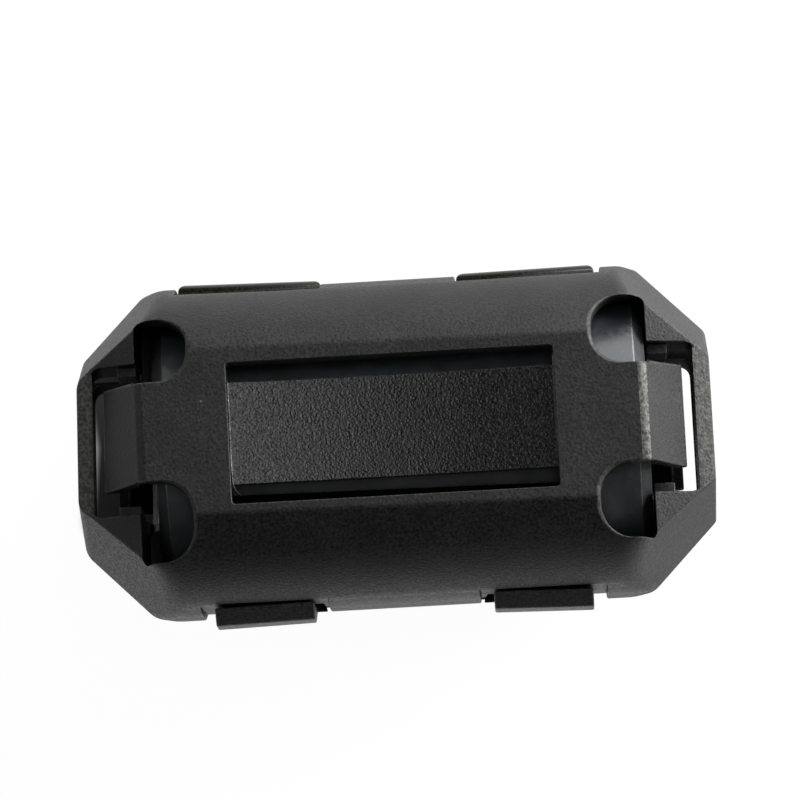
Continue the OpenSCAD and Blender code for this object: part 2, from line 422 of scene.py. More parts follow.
def port(spec, end, side, skin):
    # a straight shaft that flares into a rounded lip where it meets the outside
    x0, x1, y0 = stopX - spec["portL"], stopX, spec["tongueRootHalf"]
    y1, big, small = y0 + spec["portW"], spec["portR"], spec["portCorner"]
    bends = [
        (x0 + big, y0 + big, big, 180, 270, 14), (x1, y0, 0, 270, 270, 0),
        (x1 - small, y1 - small, small, 0, 90, 5), (x0 + big, y1 - big, big, 90, 180, 14),
    ]
    rim = []
    for mx, my, radius, start, stop, steps in bends:
        for i in range(steps + 1):
            a = math.radians(start + (stop - start) * i / max(1, steps))
            out = Vector((math.cos(a), math.sin(a), 0))
            point = Vector((mx, my, 0)) + out * radius
            lip = spec["plainEdge"] + (spec["portLip"] - spec["plainEdge"]) * max(0, -out.x)
            out.x = min(0, out.x)
            if point.y < y0 + 0.01 and point.x > bendX - spec["tongueBend"]:
                out.y = 0
            if rim and (point - rim[-1][0]).length > 2 * spec["portStep"]:
                last, lastOut = rim[-1][:2]
                pieces = math.ceil((point - last).length / spec["portStep"])
                for k in range(1, pieces):
                    share = k / pieces
                    here = last.lerp(point, share)
                    onTongue = here.x > bendX - spec["tongueBend"] - 0.05 and here.y < y1 - 1
                    rim.append((here, Vector() if onTongue else lastOut.copy(), lip))
            rim.append((point, out, lip))
    flip = Matrix.Diagonal((end, side, 1, 1))
    down = Vector((0, 0, -1))
    rings = [[] for i in range(8)]
    for point, out, lip in rim:
        top, normal = skin.ray_cast(flip @ point + Vector((0, 0, far)), down)[:2]
        normal = flip @ normal
        top = flip @ top
        away = out - normal * out.dot(normal)
        away = away.normalized() * out.length if out.length else out
        rings[0].append(Vector((point.x, point.y, spec["boreR"])))
        for k in range(5):
            t = 1 - k * 0.7 / 4
            rings[k + 1].append(top + away * lip * (1 - t) ** 2 + down * lip * t * t)
        rise = lip * t + 0.02 / (t * max(0.2, normal.z))
        rings[6].append(rings[5][-1] + (away * (1 - t) - down * t) * rise)
        rings[7].append(Vector((rings[6][-1].x, rings[6][-1].y, far)))
    return loft("port", [[flip @ point for point in ring] for ring in rings])


def tongue(spec, end):
    reach, drop, thick, bend = (spec[k] for k in ("tongueReach", "tongueDrop", "tongueT", "tongueBend"))
    slant = math.hypot(reach, drop)
    downX, downZ = reach / slant, -drop / slant
    tip = (bendX + reach, halfH - drop)
    under = (tip[0] + thick * downZ, tip[1] - thick * downX)
    underZ = halfH - thick
    underX = under[0] - (underZ - under[1]) * reach / drop
    rootX = bendX - bend - spec["weld"]
    outline = [(rootX, underZ), (rootX, halfH)]
    for i in range(9):
        t = i / 8
        x = bendX - bend * (1 - t) ** 2 + bend * downX * t * t
        outline.append((x, halfH + bend * downZ * t * t))
    outline += [tip, under, (underX, underZ)]
    rings = []
    for side in (-1, 1):
        rings.append([])
        for x, z in outline:
            share = max(0, (x - stopX) / (tip[0] - stopX))
            half = spec["tongueRootHalf"] * (1 - share) + spec["tongueTipHalf"] * share
            rings[-1].append((x * end, side * half, z))
    return loft("tongue", rings)


def spring(spec):
    half = stopX - spec["windowInset"]
    low = coreR + spec["springClear"] + spec["springT"]
    sag = halfH - spec["springStep"] - low
    bowR = (half * half + sag * sag) / (2 * sag)
    reach = math.degrees(math.asin((half + spec["weld"]) / bowR))
    upper = arc((0, low + bowR), bowR, 270 - reach, 270 + reach, 40)
    lower = arc((0, low + bowR), bowR + spec["springT"], 270 + reach, 270 - reach, 40)
    return prism("spring", upper + lower, "y", -spec["springHalf"], spec["springHalf"])


def edgeRecess(middle, width, depth, side):
    tools = []
    for x in (-middle, middle):
        outline = roundBox(x - width / 2, x + width / 2, halfW - depth, far)
        tools.append(prism("recess", mirrored(outline, 1, side), "z", -1, far))
    return tools


def makeHalf(name, spec, corners, latchDepth, deeper):
    half = makeSkin(name, spec, corners)
    bm = bmesh.new()
    bm.from_mesh(half.data)
    skin = BVHTree.FromBMesh(bm)
    bm.free()
    tools = [
        prism("seat", circle(coreR + spec["coreClear"]), "x", -stopX, stopX),
        prism("cableHole", circle(spec["cableR"]), "x", -far, far),
    ]
    for end in (-1, 1):
        tools += [capCut(spec, end)] + endHollows(spec, end, deeper[end])
    windowX = stopX - spec["windowInset"]
    r = spec["windowCorner"]
    outline = roundBox(-windowX, windowX, -spec["windowHalf"], spec["windowHalf"], (r, r, r, r), 3)
    tools.append(prism("window", outline, "z", spec["boreR"], far))
    tools += edgeRecess(strapX, spec["strapW"] + 2 * spec["strapClear"], spec["strapRecess"], 1)
    tools += edgeRecess(latchX, spec["latchW"] + 2 * spec["latchSideClear"], latchDepth, -1)
    combine(half, tools, "DIFFERENCE")
    combine(half, [tongue(spec, -1), tongue(spec, 1), spring(spec)], "UNION")
    ports = [port(spec, end, side, skin) for end in (-1, 1) for side in (-1, 1)]
    return combine(half, ports, "DIFFERENCE")


# the zone of a port's lip, which is rounded already
lipZone = {"before": 0.3, "past": 0.5, "short": 0.02, "outerLow": 4.2, "innerLow": 6}


def onPortRim(x, y, z):
    y0, width = caseSpec["tongueRootHalf"], caseSpec["portW"]
    x0 = stopX - caseSpec["portL"] - lipZone["past"]
    if not y0 - lipZone["before"] < y < y0 + width + lipZone["past"] or x < x0:
        return False
    if y > y0 + width / 2:
        return x < stopX - lipZone["short"] and z > lipZone["outerLow"]
    return x < bendX - caseSpec["tongueBend"] - lipZone["short"] and z > lipZone["innerLow"]


def halfEdgeWidth(edge):
    spec, near = caseSpec, caseSpec["edgeNear"]
    at = (edge.verts[0].co + edge.verts[1].co) / 2
    x, y = abs(at.x), abs(at.y)
    if at.z < spec["partingEdge"] + near or onPortRim(x, y, at.z):
        return 0
    if at.z > halfH - 1 and x < stopX - spec["windowInset"] + spec["edgeWide"]:
        return spec["windowEdge"]
    onTongue = x > bendX - spec["edgeWide"] and y < spec["tongueTipHalf"] + near
    if onTongue and at.z > halfH - spec["tongueDrop"] - spec["edgeDeep"]:
        return spec["tongueEdge"]
    return spec["plainEdge"]


def smoothShare(value, low, high):
    t = min(1, max(0, (value - low) / (high - low)))
    return t * t * (3 - 2 * t)


def warp(mesh, spec):
    for vert in mesh.vertices:
        x, y, z = vert.co
        share = smoothShare(abs(x), spec["from"], spec["to"])
        lean = smoothShare(-x, spec["leanFrom"], spec["leanTo"])
        wider = spec["wider"][(1 if x > 0 else -1, 1 if y > 0 else -1)]
        shift = smoothShare(-x, *spec["shiftX"]) * (1 - smoothShare(abs(y), *spec["shiftY"]))
        newX = x + spec["leftLean"] * lean * y
        newY = y * (1 + wider * share) + spec["tongueShift"] * shift
        vert.co = (newX, newY, z)


# how much painted highlight a face gets: plain, rounded edge or lip, bend of the right tongue, rim of an end
# wall
highlightMarks = (0, 1, 4, 2)


def dress(thing, warped=True):
    # to metres, with smooth shading, weighted normals and the faces for the painted highlight marked
    mesh = thing.data
    if warped:
        warp(mesh, warpSpec)
    mesh.transform(Matrix.Scale(mm, 4))
    mark = mesh.attributes.new("highlightFace", "FLOAT", "FACE")
    for face in mesh.polygons:
        mark.data[face.index].value = highlightMarks[face.material_index]
        face.material_index = 0
        face.use_smooth = True
    mesh.materials.clear()
    mod = thing.modifiers.new("weightedNormals", "WEIGHTED_NORMAL")
    mod.keep_sharp = True


def finishMesh(thing, piece, node, body, warped=True):
    dress(thing, warped)
    thing.name = piece
    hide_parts(node)
    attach(thing, body)
    return thing


# latches: an arm with a pocket on the lower half, a ramped catch on the upper half
latchSpec = {
    "clear": 0.15,
    "proud": 0.65,
    "height": 2.75,
    "shoulder": 2.05,
    "taper": 0.35,
    "root": 3.3,
    "gapH": 0.9,
    "catchW": 2.9,
    "catchProud": 0.5,
    "catchFoot": 0.4,
    "catchTop": 1.5,
    "catchFace": 0.35,
    "catchClear": 0.15,
    "skin": 0.3,
    "gusset": 0.5,
    "gussetShare": 0.85,
    "gussetFoot": 0.1,
    "gussetBends": (-2.4, -1.6),
    "overlap": 0.05,
    "edge": 0.08,
}


def latchArm(spec, middle):
    wallY = halfW - caseSpec["lowerRecess"]
    rootY = wallY - spec["overlap"]
    innerY = halfW - caseSpec["upperRecess"] + spec["clear"]
    outerY = halfW + spec["proud"]
    width = caseSpec["latchW"]
    outline = [
        (innerY, spec["height"]), (innerY + spec["clear"], spec["height"]),
        (outerY, spec["shoulder"]), (outerY, spec["taper"]), (wallY, -spec["root"]),
        (rootY, -spec["root"]), (rootY, -spec["gapH"]), (innerY, -spec["gapH"] + innerY - rootY),
    ]
    arm = prism("arm", mirrored(outline, -1), "x", middle - width / 2, middle + width / 2)
    half = spec["catchW"] / 2 + spec["catchClear"]
    top = spec["catchTop"] + spec["catchClear"]
    pocket = roundBox(middle - half, middle + half, spec["catchFoot"], top)
    combine(arm, [prism("pocket", pocket, "y", spec["skin"] - outerY, 0)], "DIFFERENCE")
    return soften(arm, lambda edge: spec["edge"])


def latchGusset(spec, middle):
    # fills the corner between the arm's root and the case, on the side that faces the other latch
    side = -1 if middle > 0 else 1
    wallY = halfW - caseSpec["lowerRecess"]
    armX = middle + side * caseSpec["latchW"] / 2
    deepest = halfW + spec["proud"] - wallY
    rings = []
    into, sunk = -caseSpec["weld"], -spec["overlap"]
    for z in (-spec["root"] + spec["gussetFoot"], *spec["gussetBends"], -spec["gapH"]):
        depth = deepest * (z + spec["root"]) / (spec["taper"] + spec["root"])
        r = min(spec["gusset"], spec["gussetShare"] * depth)
        curve = arc((r, r), r, 270, 180, 8)  # out along the case, and in from the arm
        points = [(into, sunk), (into, r)] + [(r - x, y) for x, y in curve[::-1]] + [(r, sunk)]
        rings.append([(armX + side * x, -wallY - y, z) for x, y in points])
    return loft("gusset", rings)


def latchCatch(spec, middle):
    wallY = halfW - caseSpec["upperRecess"]
    outline = [
        (wallY - spec["overlap"], spec["catchFoot"]), (wallY, spec["catchFoot"]),
        (wallY + spec["catchProud"], spec["catchTop"] - spec["catchFace"]),
        (wallY + spec["catchProud"], spec["catchTop"]), (wallY - spec["overlap"], spec["catchTop"]),
    ]
    half = spec["catchW"] / 2
    return prism("catch", mirrored(outline, -1), "x", middle - half, middle + half)


# what gets the painted highlight besides the rounded edges
highlightSpec = {
    "portMargin": 0.4,
    "lipLow": 4,
    "lipFace": 0.04,
    "bendDepth": 0.35,
    "bendMargin": 0.1,
    "rimDepth": 0.6,
    "rimNormal": (0.6, 0.95),
}


def markPaintedHighlights(thing, spec):
    # painted highlights: the lips of the ports, the bend of the right tongue and the rims of the end walls
    y0, near = caseSpec["tongueRootHalf"], spec["portMargin"]
    y1 = y0 + caseSpec["portW"]
    x0, x1 = stopX - caseSpec["portL"], stopX + spec["bendMargin"]
    bend0, bend1 = bendX - caseSpec["tongueBend"], bendX + spec["bendMargin"]
    rimLow, rimHigh = spec["rimNormal"]
    for face in thing.data.polygons:
        x, y, z = abs(face.center.x), abs(face.center.y), face.center.z
        normal = face.normal
        nearPort = x0 - near < x < x1 and y0 - near < y < y1 + near and z > spec["lipLow"]
        lip = nearPort and face.area < spec["lipFace"] and 0.05 < normal.z < 0.999
        atRoot = y < y0 + spec["bendMargin"] and z > halfH - spec["bendDepth"]
        bend = bend0 < face.center.x < bend1 and atRoot
        slopes = rimLow < normal.z < rimHigh and abs(normal.y) < 0.2
        rim = x > endX - spec["rimDepth"] and z > spec["lipLow"] and slopes
        if lip or bend or rim:
            face.material_index = 2 if bend else 3 if rim else 1


# flash: thin fins of plastic left by the mould at both ends of the upper window
flashSpec = {
    "width": 0.045,
    "low": 0.26,
    "high": 0.03,
    # places along each end, with how far the fin leans in there
    "left": [
        (-2.9, 0.42), (-2.8, 0.30), (-2.62, 0.17), (-2.4, 0.08), (-1.8, 0.05), (-1.3, 0.02),
        (-0.6, 0.05), (0.1, 0.03), (0.8, 0.06), (1.5, 0.03), (2.2, 0.05), (2.42, 0.04),
    ],
    "right": [(-2.3, 0.03), (-1.0, 0.02), (0.4, 0.035), (1.6, 0.02), (2.4, 0.03), (2.9, 0.02)],
}


# marks every face of a flash fin for the painted edge highlight
def highlightAll(thing):
    thing.data.materials.append(None)
    thing.data.materials.append(None)
    for face in thing.data.polygons:
        face.material_index = 1
    return thing


def makeFlash(spec, end, line):
    edgeX = stopX - caseSpec["windowInset"]
    rings = []
    for y, inward in line:
        x = end * (edgeX - inward)
        half = spec["width"] / 2
        low, high = halfH - spec["low"], halfH - spec["high"]
        rings.append([(x - half, y, low), (x + half, y, low), (x + half, y, high), (x - half, y, high)])
    return loft("flash", rings)


def makeUpperShell():
    shell = makeHalf("upperShell", caseSpec, upperCorners, caseSpec["upperRecess"], upperDeeper)
    combine(shell, [latchCatch(latchSpec, x) for x in (-latchX, latchX)], "UNION")
    soften(shell, halfEdgeWidth)
    for end, line in ((-1, flashSpec["left"]), (1, flashSpec["right"])):
        combine(shell, [highlightAll(makeFlash(flashSpec, end, line))], "UNION")
    markPaintedHighlights(shell, highlightSpec)
    return finishMesh(shell, "upperShell", "upper_shell", "lid")


def makeLowerShell():
    shell = makeHalf("lowerShell", caseSpec, lowerCorners, caseSpec["lowerRecess"], lowerDeeper)
    soften(shell, halfEdgeWidth)
    markPaintedHighlights(shell, highlightSpec)
    shell.data.transform(Matrix.Diagonal((1, 1, -1, 1)))
    shell.data.flip_normals()
    for make in (latchArm, latchGusset):
        combine(shell, [make(latchSpec, x) for x in (-latchX, latchX)], "UNION")
    return finishMesh(shell, "lowerShell", "lower_shell", "base")


# ferrite cores: half rings with ground faces, chamfered ends and small chips
coreSpec = {
    "boreR": 3.5,
    "endChamfer": 0.5,
    "boreChamfer": 0.3,
    "soft": 0.06,
    "steps": 72,
    "chip": 0.05,
    "chipFrom": 0.55,
    "seed": 7,
}


def makeCore(piece, node, side, body):
    spec = coreSpec
    rng = random.Random(spec["seed"] + side)
    low, high = (corner.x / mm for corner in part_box(node))
    end, bore, soft = spec["endChamfer"], spec["boreChamfer"], spec["soft"]
    profile = [
        (low, coreR - end - soft), (low + soft * 0.4, coreR - end + soft * 0.4),
        (low + end - soft * 0.4, coreR - soft * 0.4), (low + end + soft, coreR),
    ]
    inner = [
        (low + bore + soft, spec["boreR"]), (low + bore - soft * 0.4, spec["boreR"] + soft * 0.4),
        (low + soft * 0.4, spec["boreR"] + bore - soft * 0.4), (low, spec["boreR"] + bore + soft),
    ]
    outer = profile + [(low + high - x, r) for x, r in reversed(profile)]
    section = outer + [(low + high - x, r) for x, r in inner[::-1]] + inner
    rings = []
    for i in range(spec["steps"] + 1):
        a = math.pi * i / spec["steps"]
        ring = []
        for k, (x, r) in enumerate(section):
            chip = 0
            if k in (1, 2, 5, 6):
                chip = spec["chip"] * max(0, rng.random() - spec["chipFrom"])
            ring.append((x, (r - chip) * math.cos(a), side * (r - chip) * math.sin(a)))
        rings.append(ring)
    core = loft(piece, rings)
    return finishMesh(core, piece, node, body, False)


# straps: two thin loops that bend when the lid opens
strapSpec = {
    "thick": 0.25,
    "loopR": 0.45,
    "proud": 0.35,
    "endRound": 0.35,
    "edge": 0.05,
    "bendFrom": 0.3,
    "stations": 10,
    # the left strap fills its recess, the right one is a little narrower and off centre
    "width": {-1: 6.86, 1: 6.6},
    "shift": {-1: 0.0, 1: -0.1},
    "extraProud": {-1: 0.03, 1: -0.02},
}


def makeStrap(piece, node, end):
    spec = strapSpec
    rootY = halfW - caseSpec["strapRecess"]
    extra = spec["extraProud"][end]
    loopY = halfW + spec["proud"] + extra - spec["loopR"]
    pairs = []
    for radius in (spec["loopR"], spec["loopR"] - spec["thick"]):
        bend = arc((loopY, 0), radius, -90, 90, 20)
        legs = [rootY, rootY + (loopY - rootY) * 0.5]
        pairs.append([(y, -radius) for y in legs] + bend + [(y, radius) for y in legs[::-1]])
    outer, inner = pairs
    section = outer + inner[::-1]
    count = len(outer)
    half, tipY, r = spec["width"][end] / 2, loopY + spec["loopR"], spec["endRound"]
    middleX = end * strapX + spec["shift"][end]
    rings = []
    for i in range(spec["stations"] + 1):
        share = 2 * i / spec["stations"] - 1
        ring = []
        for y, z in section:
            over = max(0, y - (tipY - r))
            reach = half - (r - math.sqrt(max(0, r * r - over * over)))
            ring.append((middleX + share * reach, y, z))
        rings.append(ring)
    bm = bmesh.new()
    verts = joinRings(bm, rings)
    for ring in (verts[0], verts[-1]):
        for i in range(count - 1):
            bm.faces.new((ring[i], ring[i + 1], ring[-2 - i], ring[-1 - i]))
    strap = solidFrom(piece, bm)
    soften(strap, lambda edge: spec["edge"])
    dress(strap)
    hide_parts(node)
    bendZ = spec["bendFrom"] * mm
    middle = Vector((end * strapX * mm, halfW * mm, 0))
    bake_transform(strap, "base", "lid", middle - Vector((0, 0, bendZ)), middle + Vector((0, 0, bendZ)))
    return strap


upperShell = makeUpperShell()
lowerShell = makeLowerShell()
upperCore = makeCore("upperCore", "upper_core", 1, "lid")
lowerCore = makeCore("lowerCore", "lower_core", -1, "base")
leftStrap = makeStrap("leftStrap", "hinge_strap_left", -1)
rightStrap = makeStrap("rightStrap", "hinge_strap_right", 1)
print("pieces made:", len(upperShell.data.polygons), len(lowerShell.data.polygons), "shell faces")


# node groups that the finishes share
def newGroup(name, inputs, outputs):
    group = bpy.data.node_groups.new(name, "ShaderNodeTree")
    for label, kind, value in inputs:
        socket = group.interface.new_socket(name=label, in_out="INPUT", socket_type=kind)
        socket.default_value = value
    for label, kind in outputs:
        group.interface.new_socket(name=label, in_out="OUTPUT", socket_type=kind)
    start = group.nodes.new("NodeGroupInput")
    end = group.nodes.new("NodeGroupOutput")
    return group, start, end


def addNode(tree, kind, settings=None, values=None):
    node = tree.nodes.new("ShaderNode" + kind)
    for key, value in (settings or {}).items():
        setattr(node, key, value)
    for key, value in (values or {}).items():
        node.inputs[key].default_value = value
    return node


def mathNode(tree, operation, a, b=None, clamp=False):
    node = addNode(tree, "Math", {"operation": operation, "use_clamp": clamp})
    for i, value in enumerate((a, b)):
        if isinstance(value, (int, float)):
            node.inputs[i].default_value = value
        elif value is not None:
            tree.links.new(value, node.inputs[i])
    return node.outputs[0]


def rampNode(tree, source, stops, smooth=False):
    ramp = addNode(tree, "ValToRGB")
    ramp.color_ramp.interpolation = "EASE" if smooth else "LINEAR"
    for element, (at, value) in zip(list(ramp.color_ramp.elements), stops):
        element.position = at
        element.color = (value, value, value, 1)
    tree.links.new(source, ramp.inputs[0])
    return ramp.outputs[0]


def grainGroup():
    # fine spark eroded grain of a moulded face, with larger cloudy patches
    group, start, end = newGroup(
        "mouldedGrain",
        [("Grain per metre", "NodeSocketFloat", 6000), ("Patches per metre", "NodeSocketFloat", 500)],
        [("Height", "NodeSocketFloat"), ("Grain", "NodeSocketFloat"), ("Patches", "NodeSocketFloat")],
    )
    links = group.links
    place = addNode(group, "TexCoord").outputs["Object"]
    fine = addNode(group, "TexNoise", values={"Detail": 2.5, "Roughness": 0.6})
    pits = addNode(group, "TexVoronoi", {"feature": "SMOOTH_F1"}, {"Smoothness": 0.6})
    cloud = addNode(group, "TexNoise", values={"Detail": 3.0, "Roughness": 0.55})
    for node, scale in ((fine, start.outputs[0]), (pits, start.outputs[0]), (cloud, start.outputs[1])):
        links.new(place, node.inputs["Vector"])
        links.new(scale, node.inputs["Scale"])
    height = mathNode(group, "ADD", fine.outputs[0], pits.outputs["Distance"])
    links.new(mathNode(group, "MULTIPLY", height, 0.5), end.inputs["Height"])
    links.new(rampNode(group, fine.outputs[0], [(0.35, 0.0), (0.68, 1.0)]), end.inputs["Grain"])
    patches = rampNode(group, cloud.outputs[0], [(0.38, 0.0), (0.64, 1.0)], True)
    links.new(patches, end.inputs["Patches"])
    return group


def dustGroup():
    # sparse pale specks, most of them on faces that look up
    group, start, end = newGroup(
        "dustSpecks",
        [("Specks per metre", "NodeSocketFloat", 900), ("Share", "NodeSocketFloat", 0.1)],
        [("Mask", "NodeSocketFloat")],
    )
    place = addNode(group, "TexCoord").outputs["Object"]
    cells = addNode(group, "TexVoronoi", {"feature": "F1"}, {"Randomness": 1.0})
    group.links.new(place, cells.inputs["Vector"])
    group.links.new(start.outputs[0], cells.inputs["Scale"])
    spot = rampNode(group, cells.outputs["Distance"], [(0.03, 1.0), (0.07, 0.0)])
    split = addNode(group, "SeparateColor")
    group.links.new(cells.outputs["Color"], split.inputs[0])
    chosen = mathNode(group, "LESS_THAN", split.outputs[0], start.outputs[1])
    up = addNode(group, "SeparateXYZ")
    group.links.new(addNode(group, "NewGeometry").outputs["Normal"], up.inputs[0])
    facing = mathNode(group, "MULTIPLY", mathNode(group, "ADD", up.outputs[2], 0.2, True), chosen)
    group.links.new(mathNode(group, "MULTIPLY", spot, facing), end.inputs["Mask"])
    return group


def edgeHighlightGroup():
    # painted highlights on the marked edges, in patches: the rounded faces carry the face attribute that
    # dress writes
    group, start, end = newGroup(
        "paintedEdgeHighlights",
        [("Patches per metre", "NodeSocketFloat", 6000)],
        [("Mask", "NodeSocketFloat")],
    )
    edge = addNode(group, "Attribute", {"attribute_name": "highlightFace"})
    noise = addNode(group, "TexNoise", values={"Detail": 3.0})
    group.links.new(addNode(group, "TexCoord").outputs["Object"], noise.inputs["Vector"])
    group.links.new(start.outputs[0], noise.inputs["Scale"])
    patchy = rampNode(group, noise.outputs[0], [(0.38, 0.1), (0.62, 1.0)])
    group.links.new(mathNode(group, "MULTIPLY", patchy, edge.outputs["Fac"]), end.inputs["Mask"])
    return group


groups = {"grain": grainGroup(), "dust": dustGroup(), "edgeHighlight": edgeHighlightGroup()}


def placeGroup(tree, key, values=None):
    node = tree.nodes.new("ShaderNodeGroup")
    node.node_tree = groups[key]
    for label, value in (values or {}).items():
        node.inputs[label].default_value = value
    return node


def addBump(tree, strength, depth, height):
    # depth is in millimetres
    bump = addNode(tree, "Bump", values={"Strength": strength, "Distance": depth * mm})
    tree.links.new(height, bump.inputs["Height"])
    return bump


def mixColour(tree, factor, first, second, blend="MIX"):
    node = addNode(tree, "Mix", {"data_type": "RGBA", "blend_type": blend})
    for socket, value in ((node.inputs[0], factor), (node.inputs[6], first), (node.inputs[7], second)):
        if isinstance(value, tuple):
            socket.default_value = (*value, 1)
        elif isinstance(value, (int, float)):
            socket.default_value = value
        else:
            tree.links.new(value, socket)
    return node.outputs[2]


def newMaterial(name):
    material = bpy.data.materials.new(name)
    material.use_nodes = True
    tree = material.node_tree
    return material, tree, tree.nodes["Principled BSDF"]


def speckledTone(tree, finish):
    # the grain, and the colour that it gives without dust and rubbed edges
    grain = placeGroup(tree, "grain", {
        "Grain per metre": finish["grain"], "Patches per metre": finish["patches"],
    })
    tone = mixColour(tree, grain.outputs["Patches"], finish["dark"], finish["light"])
    speckle = rampNode(tree, grain.outputs["Grain"], list(enumerate(finish["speckle"])))
    return grain, mixColour(tree, 1.0, tone, speckle, "MULTIPLY")


# finishes
plasticFinish = {
    "dark": (0.0150, 0.0152, 0.0158),
    "light": (0.0220, 0.0218, 0.0220),
    # colour of the painted highlight on rounded edges, lips, the tongue bend and rims
    "paintedHighlight": (0.20, 0.196, 0.186),
    "dust": (0.22, 0.22, 0.21),
    "roughLow": 0.42,
    "roughHigh": 0.64,
    "specular": 0.5,
    "grain": 7500,
    "patches": 420,
    "grainDepth": 0.028,
    "grainStrength": 0.8,
    "speckle": (0.25, 2.0),
    "dustShare": 0.05,
    "dustRough": 0.3,
    "highlightShare": 0.25,
    # a coarser grain on top, in cells per metre, where there is one
    "coarse": 0,
    "coarseDepth": 0.0095,
    "coarseStrength": 0.8,
}


def blackPlastic(name, finish):
    material, tree, shader = newMaterial(name)
    links = tree.links
    grain, tone = speckledTone(tree, finish)
    dust = placeGroup(tree, "dust", {"Share": finish["dustShare"]})
    edgeHighlight = placeGroup(tree, "edgeHighlight")
    # the painted highlight goes on the marked faces, then the real dust on top
    paintedHighlight = mathNode(tree, "MULTIPLY", edgeHighlight.outputs[0], finish["highlightShare"], True)
    tone = mixColour(tree, paintedHighlight, tone, finish["paintedHighlight"])
    tone = mixColour(tree, dust.outputs[0], tone, finish["dust"])
    links.new(tone, shader.inputs["Base Color"])
    roughStops = [(0.0, finish["roughLow"]), (1.0, finish["roughHigh"])]
    rough = rampNode(tree, grain.outputs["Grain"], roughStops)
    dusty = mathNode(tree, "MULTIPLY", dust.outputs[0], finish["dustRough"])
    links.new(mathNode(tree, "ADD", rough, dusty), shader.inputs["Roughness"])
    shader.inputs["Specular IOR Level"].default_value = finish["specular"]
    bump = addBump(tree, finish["grainStrength"], finish["grainDepth"], grain.outputs["Height"])
    if finish["coarse"]:
        cellValues = {"Scale": finish["coarse"], "Smoothness": 0.35}
        cells = addNode(tree, "TexVoronoi", {"feature": "SMOOTH_F1"}, cellValues)
        links.new(addNode(tree, "TexCoord").outputs["Object"], cells.inputs["Vector"])
        fine = bump
        bump = addBump(tree, finish["coarseStrength"], finish["coarseDepth"], cells.outputs["Distance"])
        links.new(fine.outputs[0], bump.inputs["Normal"])
    links.new(bump.outputs[0], shader.inputs["Normal"])
    return material


ferriteFinish = {
    "dark": (0.036, 0.040, 0.046),
    "light": (0.060, 0.066, 0.075),
    "dust": (0.15, 0.15, 0.15),
    "grain": 5200,
    "patches": 700,
    "grainDepth": 0.008,
    "grainStrength": 0.5,
    "speckle": (0.82, 1.15),
    "dustShare": 0.12,
    "roughness": 0.42,
    "roughSpread": (-0.08, 0.1),
    "refraction": 2.3,
}


def ferrite(name, finish):
    material, tree, shader = newMaterial(name)
    links = tree.links
    grain, tone = speckledTone(tree, finish)
    dust = placeGroup(tree, "dust", {"Share": finish["dustShare"]})
    tone = mixColour(tree, dust.outputs[0], tone, finish["dust"])
    links.new(tone, shader.inputs["Base Color"])
    roughStops = [(i, finish["roughness"] + more) for i, more in enumerate(finish["roughSpread"])]
    links.new(rampNode(tree, grain.outputs["Grain"], roughStops), shader.inputs["Roughness"])
    shader.inputs["IOR"].default_value = finish["refraction"]
    bump = addBump(tree, finish["grainStrength"], finish["grainDepth"], grain.outputs["Height"])
    links.new(bump.outputs[0], shader.inputs["Normal"])
    return material


casePlastic = blackPlastic("satinBlackPlastic", plasticFinish)
springPlastic = blackPlastic("grainedSpringPlastic", {
    **plasticFinish, "dark": (0.006, 0.006, 0.0066), "light": (0.009, 0.009, 0.0096),
    "roughLow": 0.10, "roughHigh": 0.36, "specular": 0.6, "grainDepth": 0.02, "coarse": 10000,
})
# a darker copy of the case plastic for the hollows: painted shade, with a rougher, less glossy finish
shadedInnerPlastic = blackPlastic("innerPlasticPaintedShade", {
    **plasticFinish, "dark": (0.004, 0.004, 0.0042), "light": (0.006, 0.006, 0.0062),
    "roughLow": 0.8, "roughHigh": 0.9, "specular": 0.12, "dustShare": 0.02,
})
# a darker, olive copy of the case plastic for the straps: painted shade of their recess, with a smoother
# finish of their own
shadedStrapPlastic = blackPlastic("strapPlasticPaintedShade", {
    **plasticFinish, "dark": (0.006, 0.0065, 0.004), "light": (0.009, 0.0095, 0.006),
    "roughLow": 0.24, "roughHigh": 0.32, "grainDepth": 0.003,
})
ferriteGrey = ferrite("groundFerrite", ferriteFinish)
# a darker ferrite for the mating faces and the chamfered ends: painted shade, with a rougher, less glossy
# finish
ferriteEndShade = ferrite("ferriteEndPaintedShade", {
    **ferriteFinish, "dark": (0.012, 0.013, 0.015), "light": (0.020, 0.022, 0.025),
    "roughness": 0.6, "refraction": 1.6,
})

# where the finishes change on one piece, in millimetres
zoneSpec = {
    "springMargin": 0.02,
    "springBelow": 0.1,
    "seatMargin": 0.3,
    "seatEnd": 0.02,
    "wallMargin": 0.1,
    "slotMargin": 0.4,
    "rimMargin": 0.4,
    "topMargin": 0.6,
    "tongueMargin": 0.3,
    "tongueLow": 3.5,
    "mating": 0.05,
}


def paintCore(core, spec):
    for material in (ferriteGrey, ferriteEndShade):
        core.data.materials.append(material)
    for face in core.data.polygons:
        mating = abs(face.normal.z) > 0.99 and abs(face.center.z) < spec["mating"] * mm
        # the mating faces and the ends get the darker ferrite: painted shade
        face.material_index = 1 if mating or abs(face.normal.x) > 0.5 else 0


